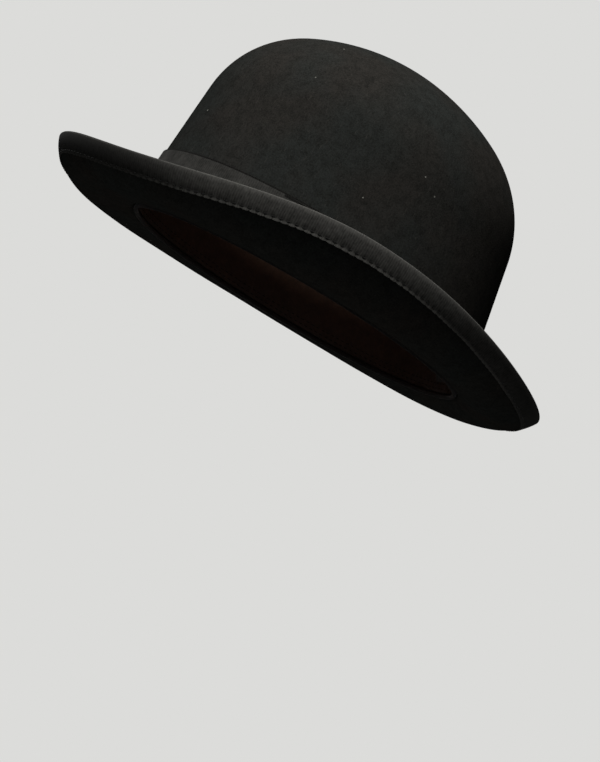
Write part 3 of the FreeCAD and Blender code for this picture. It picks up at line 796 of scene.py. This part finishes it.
class BOWLER_OT_binding(bpy.types.Operator):
    """Fold the grosgrain binding over the brim's edge and sew it down"""
    bl_idname = "bowler.binding"
    bl_label = "Brim binding"

    def execute(self, context):
        form, finish = hat_of(context)
        wide, thin = form.binding_width, form.binding_ribbon
        seam = wide - 1.5 * MM
        track = Track(lambda turn: form.edge_point(turn, seam, -form.felt))
        stitches = round(track.total / form.binding_stitch)
        pitch = track.total / stitches
        middle = -form.felt / 2
        reach = form.felt / 2 + form.gap
        # Rows across the ribbon lie closest by its seam and its sewn edge
        shares = (1.0, 0.98, 0.95, 0.91, 0.87, 0.83, 0.79, 0.72, 0.6, 0.45, 0.3, 0.15, 0.0)
        rows = [wide * share for share in shares]
        turns = [pi / 2 * part / 4 for part in range(-4, 5)]
        profile = [(inward, middle - reach - thin) for inward in rows]
        profile += [(-form.gap - (thin + form.gap) * cos(a), middle + (reach + thin) * sin(a)) for a in turns]
        profile += [(inward, middle + reach + thin) for inward in rows[::-1]]
        profile += [(inward, middle + reach) for inward in (wide, wide / 2, 0.0)]
        profile += [(-form.gap * cos(a), middle + reach * sin(a)) for a in turns[::-1]]
        profile += [(inward, middle - reach) for inward in (0.0, wide / 2, wide)]
        # In the blank, the brim's edge lies this far out
        base = 100 * MM

        def place(blank_turn, distance, offset):
            inward = base - distance
            run = blank_turn / tau * track.total
            turn = track.turn(run)
            # The thread draws the ribbon in at each hole, and its edge swells between them
            hole = cos(pi * run / pitch) ** 8
            drawn = exp(-((inward - seam) / MM) ** 2)
            beyond = ease((inward - seam) / (wide - seam))
            inward += 0.35 * MM * beyond * (0.4 - hole + waver(turn, 9, 0.5))
            if abs(offset - middle) > reach + thin / 2:
                side = copysign(1.0, offset - middle)
                offset += side * (0.16 * beyond * (1 - hole) - 0.26 * hole * drawn) * MM
            return form.edge_point(turn, inward, offset)

        profile = [(base - inward, offset) for inward, offset in profile]
        steps_per_stitch = 6
        bm = blocked(profile, stitches * steps_per_stitch, place, track.total)
        # The ribbon is painted paler over its fold and along its sewn edge, as a painted highlight where the
        # fold and the edge's ridge catch the light
        fold, sewn = base / MM, (base - wide) / MM
        edges = [(fold - 2.6, fold + 0.6, 1.4, 0.5), (sewn + 1.6, sewn + 0.4, 1.75, 0.5)]
        # The binding is painted lighter than the band, as painted sheen, and around paints it darker at the
        # front and the back, as painted shade
        ribbon = material("Grosgrain binding", grosgrain, finish, brightness=1.2, worn=0.35,
                          edges=edges, around=track.total / MM)
        make_piece(bm, "binding", ribbon, ["brim_binding"], sharp=70.0)

        def spot(side, run, lift):
            # The stitches are sunk a little into the ribbon
            return form.edge_point(track.turn(run), seam, middle + side * (reach + thin - 0.02 * MM + lift))

        places = [(number + 0.5) * pitch - track.total / 2 for number in range(stitches)]
        threads = sew((-1, 1), places, spot, (pitch * 0.74, 0.42 * MM, 0.36 * MM))
        thread = material("Twisted cotton thread", sewing_thread, finish)
        make_piece(threads, "binding_stitches", thread)
        return {"FINISHED"}


class BOWLER_OT_band(bpy.types.Operator):
    """Wrap the grosgrain band round the foot of the crown"""
    bl_idname = "bowler.band"
    bl_label = "Hat band"

    def execute(self, context):
        form, finish = hat_of(context)
        low, high = form.band_foot, form.band_foot + form.band_height
        track = Track(lambda turn: form.wall_point(turn, (low + high) / 2, form.gap))

        def place(blank_turn, height, offset):
            # The ribbon isn't quite flat, and its upper edge isn't quite level
            turn = track.evenly(blank_turn)
            offset += 0.12 * MM * waver(turn, 3, height / (20 * MM))
            height += 0.3 * MM * waver(turn, 2, 7.0) * ease((height - low) / form.band_height)
            return form.wall_point(turn, height, offset)

        bm = blocked(strap(low, high, form.gap, form.band_outside, 16), 360, place, track.total)
        # The band's two edges are painted dark, as painted shade
        edges = painted_selvage_shade(low / MM, high / MM, 1.3, 0.3)
        ribbon = material("Grosgrain band", grosgrain, finish, brightness=0.93, worn=0.5, edges=edges)
        make_piece(bm, "band", ribbon, ["hat_band"])
        return {"FINISHED"}


class BOWLER_OT_bow(bpy.types.Operator):
    """Loop, gather and knot the bow on the wearer's left"""
    bl_idname = "bowler.bow"
    bl_label = "Bow"

    def execute(self, context):
        form, finish = hat_of(context)
        # The bow is painted darker than the band, as painted shade, and its edges carry painted shade too
        loops, knot = [
            material("Grosgrain " + name, grosgrain, finish, brightness=0.78, worn=0.4,
                     edges=painted_selvage_shade(0.0, width / MM, reach, 0.2))
            for name, width, reach in (("bow", form.bow_height, 1.6), ("knot", form.knot_width, 1.0))]
        for way, name in ((-1, "front"), (1, "back")):
            self.loop(form, way, name, loops)
        self.knot(form, knot)
        return {"FINISHED"}

    def loop(self, form, way, name, ribbon):
        """One loop: out along the band, round its fold and back over itself."""
        thick, gap = form.bow_ribbon, form.gap
        low = form.band_outside + gap + thick / 2
        high = low + form.bow_depth - thick
        waist_low = low + thick + gap
        waist_high = waist_low + thick + gap
        bend = (high - low) / 2
        root, clear = gap, form.knot_width / 2 + gap
        fold = form.bow_half_length - thick / 2 - bend
        swell = (clear + fold) / 2
        total = 2 * (fold - root) + pi * bend

        def place(share, across):
            along, out, around = folded(share * total, fold - root, bend)
            behind = root + along
            gathered = 1 - ease((behind - clear) / (swell - clear))
            offset = low + out + gathered * (waist_high - high if around else waist_low - low)
            if around:
                offset += 0.5 * MM * sin(pi * ease((behind - clear) / (fold - clear)))
            spread = form.bow_waist_height + (form.bow_height - form.bow_waist_height) * (
                behind / form.bow_half_length)
            # Pleats run out from the knot, and the fold sets the outer layer a little lower
            pleated = exp(-max(behind - clear, 0.0) / (9 * MM))
            offset += 0.28 * MM * pleated * cos(across * 7.5 + way)
            height = form.bow_level + across * spread / 2 - 0.8 * MM * ease(around) * behind / fold
            return form.side_point(way * behind, height, offset)

        bm = strip(96, 24, (total, form.bow_height), place)
        make_piece(bm, "bow_loop_" + name, ribbon, ["bow_" + name + "_loop"], thick)

    def knot(self, form, ribbon):
        """The strip round the bow's middle, drawn into soft pleats."""
        thick, gap = form.bow_ribbon, form.gap
        low = form.band_outside + gap + thick / 2
        high = form.band_outside + gap + thick * 4 + gap * 3 - thick / 2
        bend = (high - low) / 2
        tall = form.bow_waist_height + (gap + thick / 2) * 2
        total = 2 * tall + tau * bend

        def place(share, across):
            # Up behind the loops and round their top, then down over them and round their foot
            start, way, begun = (low, 1, 0.0) if share < 0.5 else (high, -1, 0.5)
            along, out, _ = folded((share - begun) * total, tall, bend)
            height = way * (along - tall / 2)
            outer = ease((share * total - tall) / bend) * ease((1 - share) * total / bend)
            pinch = 1 - 0.08 * outer * cos(pi * height / tall)
            offset = start + way * out + outer * 0.3 * MM * cos(across * 6.0 + 0.6) * (1 - across ** 4)
            behind = across * form.knot_width / 2 * pinch
            return form.side_point(behind, form.bow_level + height, offset)

        bm = strip(96, 20, (total, form.knot_width), place)
        make_piece(bm, "bow_tie", ribbon, ["bow_knot"], thick)


class BOWLER_OT_sweatband(bpy.types.Operator):
    """Set the leather sweatband in the opening, with its stitches"""
    bl_idname = "bowler.sweatband"
    bl_label = "Sweatband"

    def execute(self, context):
        form, finish = hat_of(context)
        low = form.in_reed_level + form.wrap_radius + form.in_reed_tape + form.gap
        high = form.in_leather_height
        inside = form.leather_inside
        track = Track(lambda turn: form.wall_point(turn, (low + high) / 2, inside))

        def place(blank_turn, height, offset):
            turn = track.evenly(blank_turn)
            ripple = waver(turn, 5, height / (30 * MM))
            return form.wall_point(turn, height, offset + 0.18 * MM * ripple)

        join = tau * form.in_leather_join / track.total
        bm = blocked(strap(low, high, inside, form.leather_outside, 24), 300, place, track.total, join)
        leather = material("Glazed sheep leather", sheep_leather, finish, low / MM, high / MM)
        make_piece(bm, "sweatband_leather", leather, ["sweatband"])

        def spot(level, run, lift):
            turn = run / track.total * tau
            face = place(turn, level, inside)
            return face + (place(turn, level, inside - MM) - face) * lift / MM

        stitches = round(track.total / form.in_leather_stitch)
        pitch = track.total / stitches
        # None goes through the join
        places = [(number + 0.5) * pitch - track.total / 2 for number in range(1, stitches - 1)]
        threads = sew((low + 2.2 * MM, low + 5.0 * MM), places, spot, (pitch * 0.72, 0.5 * MM, 0.4 * MM))
        thread = material("Twisted cotton thread", sewing_thread, finish)
        make_piece(threads, "sweatband_stitches", thread)
        return {"FINISHED"}


class BOWLER_OT_reed(bpy.types.Operator):
    """Run the reed and its folded tape round the head opening"""
    bl_idname = "bowler.reed"
    bl_label = "Reed and tapes"

    def execute(self, context):
        form, finish = hat_of(context)
        # In the blanks, the reed's middle lies this far out
        base = 20 * MM
        offset, level = form.reed_offset, form.in_reed_level

        def place(turn, distance, height):
            radius = form.crown_line(form.down_to(level, offset), offset)[0]
            strayed = form.wander(turn, 1.0)
            return form.oval(turn, offset, radius + distance - base + strayed, height + level)

        bm = blocked(arc(base, form.in_reed_diameter / 2, CORD_TURNS), 240, place)
        make_piece(bm, "reed", material("Drawn PVC reed", drawn_reed, finish), ["sweatband_reed"])

        hook = [-form.in_tape_turn * part / 16 for part in range(17)]
        near, far = form.wrap_radius, form.wrap_radius + form.in_reed_tape
        up = form.in_reed_flap_height - level
        sink = up * tan(form.wall_lean)
        flap = [(base + near - sink, up), (base + far - sink, up)]
        bm = blocked(arc(base, far, hook) + arc(base, near, hook)[::-1] + flap, 240, place)
        tape = material("Twill cotton tape", cotton_tape, finish)
        make_piece(bm, "tape_on_reed", tape, ["reed_tape"])
        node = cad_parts["sweatband_join_tape"]
        node.data.materials.clear()
        node.data.materials.append(tape)
        return {"FINISHED"}


class BOWLER_OT_small_bow(bpy.types.Operator):
    """Tie the small bow over the join of the sweatband"""
    bl_idname = "bowler.small_bow"
    bl_label = "Small inner bow"

    def execute(self, context):
        form, finish = hat_of(context)
        thick = form.in_bow_ribbon
        face = form.leather_inside - form.gap - thick / 2
        half = form.in_bow_length / 2

        def wing(way):
            def place(share, across):
                # It widens from the knot to a rounded end, puffed out, with pleats by the knot
                spread = form.in_bow_waist + (form.in_bow_height - form.in_bow_waist) * ease(share * 1.4)
                puff = 0.35 * MM * sin(pi * share) * (1 - across ** 2)
                pleat = 0.12 * MM * cos(across * 6) * (1 - share)
                rounding = 1 - 0.12 * across ** 2 * share
                height = form.in_bow_level + across * spread / 2
                return form.back_point(way * half * share * rounding, height, face - puff - pleat)
            return strip(24, 12, (half, form.in_bow_height), place)

        def knot(share, across):
            height = form.in_bow_level + (share - 0.5) * form.in_knot_height
            bulge = 0.25 * MM * (1 - across ** 2)
            offset = face - thick - form.gap - bulge
            return form.back_point(across * form.in_knot_width / 2, height, offset)

        bow = bmesh.new()
        mesh = bpy.data.meshes.new("part")
        for part in (wing(-1), wing(1), strip(12, 10, (form.in_knot_height, form.in_knot_width), knot)):
            bmesh.ops.recalc_face_normals(part, faces=part.faces)
            part.to_mesh(mesh)
            part.free()
            bow.from_mesh(mesh)
        bpy.data.meshes.remove(mesh)
        ribbon = material("Petersham small bow", grosgrain, finish, brightness=0.9, worn=0.3, pitch=0.9)
        make_piece(bow, "sweatband_small_bow", ribbon, ["sweatband_bow"], thick)
        return {"FINISHED"}


class BOWLER_OT_lining(bpy.types.Operator):
    """Line the crown with gathered satin, its tip and the piping over the seam"""
    bl_idname = "bowler.lining"
    bl_label = "Lining"

    def execute(self, context):
        form, finish = hat_of(context)
        satin = material("Viscose satin", lining_satin, finish)
        outside, inside = form.lining_outside, form.lining_inside
        foot = form.down_to(form.in_lining_foot, outside)
        tucked = form.down_to(form.in_leather_height, outside)
        seam = form.seam_down + form.gap
        track = Track(lambda turn: form.crown_point(turn, (seam + tucked) / 2, inside))

        def wall_place(turn, down, offset):
            # The gathers are held flat by the seam and fade out down to the sweatband
            above = ease((tucked - down) / (tucked - seam) * 1.4)
            held = ease((down - seam) / (9 * MM))
            wavy = turn + 0.02 * waver(turn, 4, down / (15 * MM))
            fold = (0.5 + 0.5 * cos(form.in_gathers * wavy)) ** 1.5
            uneven = 0.7 + 0.6 * waver(turn, 7, 3.0)
            return form.crown_point(turn, down, offset - form.in_gather_depth * above * held * uneven * fold)

        bm = blocked(cloth(seam, foot, outside, inside), form.in_gathers * 8, wall_place, track.total)
        piece = make_piece(bm, "lining_wall", satin, ["lining_side"])
        # The wall is a strip as long as the way round its foot, gathered into the seam above
        cut = Track(lambda turn: form.crown_point(turn, foot, outside)).total, foot - seam

        ends = form.seam_down - form.gap / 2

        def tip_place(turn, down, offset):
            # The satin puckers by the seam and hangs a little slack inside it
            near = ease((down - ends + 16 * MM) / (16 * MM)) * ease((ends - down) / (3 * MM))
            pucker = 0.25 * MM * near * (0.5 + 0.5 * cos(form.in_gathers * turn / 2))
            slack = noise.noise(form.oval(turn, 0.0, down, 0.0) / (28 * MM)) * ease((ends - down) / ends * 3)
            return form.crown_point(turn, down, offset - pucker - 0.5 * MM * abs(slack))

        bm = blocked(cloth(0.0, ends, outside, inside), form.in_gathers * 4, tip_place, track.total)
        piece = make_piece(bm, "lining_crown_tip", satin, ["lining_tip"])
        # The tip is an oval as long and wide as the way over the crown, from seam to seam
        cut = 2 * ends * form.crown_width / form.crown_length, 2 * ends

        # The piping's two strands turn once every 4 mm. In the blank, its middle lies this far out
        twists = round(track.total / (4 * MM))
        base = 20 * MM
        offset = inside - form.gap - form.in_piping_diameter / 2

        def cord_place(turn, distance, height):
            swell = 0.86 + 0.14 * abs(cos(atan2(height, distance - base) + turn * twists))
            strayed = offset + form.wander(turn, form.seam_down / form.crown_run)
            radius, level = form.crown_line(form.seam_down, strayed)
            return form.oval(turn, offset, radius + (distance - base) * swell, level + height * swell)

        profile = arc(base, form.in_piping_diameter / 2, CORD_TURNS)
        bm = blocked(profile, twists * 5, cord_place, track.total, v_axis=1)
        make_piece(bm, "seam_piping", satin, ["tip_piping"])
        return {"FINISHED"}


class BOWLER_OT_stage(bpy.types.Operator):
    """Set the floor, the lamps, the world and the camera"""
    bl_idname = "bowler.stage"
    bl_label = "Stage"

    def execute(self, context):
        stage = context.scene.bowler_stage
        self.floor(stage)
        self.world(context.scene, stage)
        self.lamps(stage, self.camera(context.scene, stage))
        context.scene.view_settings.view_transform = "Standard"
        return {"FINISHED"}

    def floor(self, stage):
        """A round floor, 4 m out all round and just under the hat."""
        bm = bmesh.new()
        bmesh.ops.create_circle(bm, cap_ends=True, radius=4.0, segments=96)
        bmesh.ops.translate(bm, verts=bm.verts, vec=(0, 0, -0.5 * MM))
        mesh = bpy.data.meshes.new("floor")
        bm.to_mesh(mesh)
        bm.free()
        mesh.materials.append(material("Matt paper floor", self.paper, stage))
        floor = bpy.data.objects.new("floor", mesh)
        bpy.context.scene.collection.objects.link(floor)

    def paper(self, tree, stage):
        """Matt paper, which goes over into the backdrop from 0.28 to 0.85 m out from the hat's middle."""
        path = add(tree, "LightPath")
        sheet = add(tree, "BsdfDiffuse", {"Color": stage.floor, "Roughness": 0.5})
        place = add(tree, "TexCoord").outputs["Object"]
        far = add(tree, "VectorMath", {0: place}, operation="LENGTH")
        away = add(tree, "MapRange", {"Value": far, "From Min": 0.28, "From Max": 0.85},
                   interpolation_type="SMOOTHSTEP")
        away = add(tree, "Math", {0: away, 1: path.outputs["Is Camera Ray"]}, operation="MULTIPLY")
        glow = add(tree, "Emission", {"Color": stage.floor, "Strength": 1.0})
        paint = add(tree, "MixShader", {0: away, 1: sheet, 2: glow})
        # The camera may look up from under the floor, so its underside doesn't show, and the
        # room's soft light passes it, so that the inside of the hat isn't black
        side = add(tree, "NewGeometry").outputs["Backfacing"]
        above = add(tree, "Math", {0: 1.0, 1: side}, operation="SUBTRACT")
        show = add(tree, "Math", {0: above, 1: self.seen(tree, path)}, operation="MULTIPLY")
        return add(tree, "MixShader", {0: show, 1: add(tree, "BsdfTransparent"), 2: paint})

    def seen(self, tree, path):
        """One where the floor and the backdrop show: to the camera, in gloss and through glass."""
        seen = path.outputs["Is Camera Ray"]
        for ray in ("Is Glossy Ray", "Is Transmission Ray"):
            seen = add(tree, "Math", {0: seen, 1: path.outputs[ray]}, operation="MAXIMUM")
        return seen

    def world(self, scene, stage):
        """Soft light from all round, and the backdrop."""
        world = bpy.data.worlds.new("Pale room")
        world.use_nodes = True
        tree = world.node_tree
        tree.nodes.clear()
        seen = self.seen(tree, add(tree, "LightPath"))
        light = add(tree, "Background", {"Color": linear("#ffffff"), "Strength": stage.room_light})
        backdrop = add(tree, "Background", {"Color": stage.floor, "Strength": 1.0})
        add(tree, "OutputWorld", {"Surface": add(tree, "MixShader", {0: seen, 1: light, 2: backdrop})})
        scene.world = world

    def camera(self, scene, stage):
        """The camera, which starts at the wearer's left, is swung round, lifted and leant, and its
        picture is then turned. It gives the picture's axes."""
        swung = Matrix.Rotation(stage.camera_yaw, 4, "Z") @ Matrix.Rotation(stage.camera_roll, 4, "Y")
        leant = swung @ Matrix.Rotation(-stage.camera_pitch, 4, "X")
        place = leant @ Vector((stage.camera_distance, stage.camera_sideways, -stage.camera_drop))
        turned = leant @ Matrix.Rotation(stage.picture_turn, 4, "X")
        across, above, back = [turned.col[axis].to_3d() for axis in (1, 2, 0)]
        data = bpy.data.cameras.new("camera")
        data.lens = stage.lens
        data.sensor_width = 36.0
        data.clip_start = 10 * MM
        camera = bpy.data.objects.new("camera", data)
        camera.matrix_world = Matrix.Translation(place) @ Matrix([across, above, back]).transposed().to_4x4()
        scene.collection.objects.link(camera)
        scene.camera = camera
        return across, above, back

    def lamps(self, stage, axes):
        """A main lamp above the camera, soft ones behind and under the hat, and one in its opening.

        All face a point in the crown, and only the main one shows in gloss."""
        across, above, back = axes
        centre = Vector((0, 0, 0.06))
        for name, way, size, watts in (
                ("lamp_main", across * 0.12 + above * 1.1 + back * 0.56, 0.5, stage.lamp_power),
                ("lamp_fill", above * 0.3 - back * 1.3, 0.8, stage.fill_power),
                ("lamp_under", Vector((0, 0, -1.0)), 0.8, stage.under_power),
                ("lamp_inside", Vector((0, 0, 2 * MM)) - centre, 0.09, stage.inside_power)):
            data = bpy.data.lights.new(name, "AREA")
            data.shape = "DISK"
            data.size = size
            data.energy = watts
            lamp = bpy.data.objects.new(name, data)
            lamp.visible_camera = False
            if name != "lamp_main":
                lamp.visible_glossy = False
                data.spread = radians(130)
            turned = way.to_track_quat("Z", "Y").to_matrix().to_4x4()
            lamp.matrix_world = Matrix.Translation(centre + way) @ turned
            bpy.context.scene.collection.objects.link(lamp)


OPERATORS = (
    BOWLER_OT_felt_body,
    BOWLER_OT_binding,
    BOWLER_OT_band,
    BOWLER_OT_bow,
    BOWLER_OT_sweatband,
    BOWLER_OT_reed,
    BOWLER_OT_small_bow,
    BOWLER_OT_lining,
    BOWLER_OT_stage,
)


class BOWLER_PT_panel(bpy.types.Panel):
    """Lists the pieces of the hat in the sidebar"""
    bl_idname = "BOWLER_PT_panel"
    bl_label = "Bowler hat"
    bl_space_type = "VIEW_3D"
    bl_region_type = "UI"
    bl_category = "Bowler hat"

    def draw(self, context):
        for operator in OPERATORS:
            self.layout.operator(operator.bl_idname)


GROUPS = (
    ("bowler_sizes", HatSizes),
    ("bowler_inside", InsideSizes),
    ("bowler_finishes", Finishes),
    ("bowler_stage", StageSettings),
)


def register():
    for name, group in GROUPS:
        bpy.utils.register_class(group)
        setattr(bpy.types.Scene, name, bpy.props.PointerProperty(type=group))
    for operator in OPERATORS:
        bpy.utils.register_class(operator)
    bpy.utils.register_class(BOWLER_PT_panel)


def unregister():
    bpy.utils.unregister_class(BOWLER_PT_panel)
    for operator in reversed(OPERATORS):
        bpy.utils.unregister_class(operator)
    for name, group in reversed(GROUPS):
        delattr(bpy.types.Scene, name)
        bpy.utils.unregister_class(group)


def main():
    register()
    for operator in OPERATORS:
        space, name = operator.bl_idname.split(".")
        getattr(getattr(bpy.ops, space), name)()


if __name__ == "__main__":
    main()
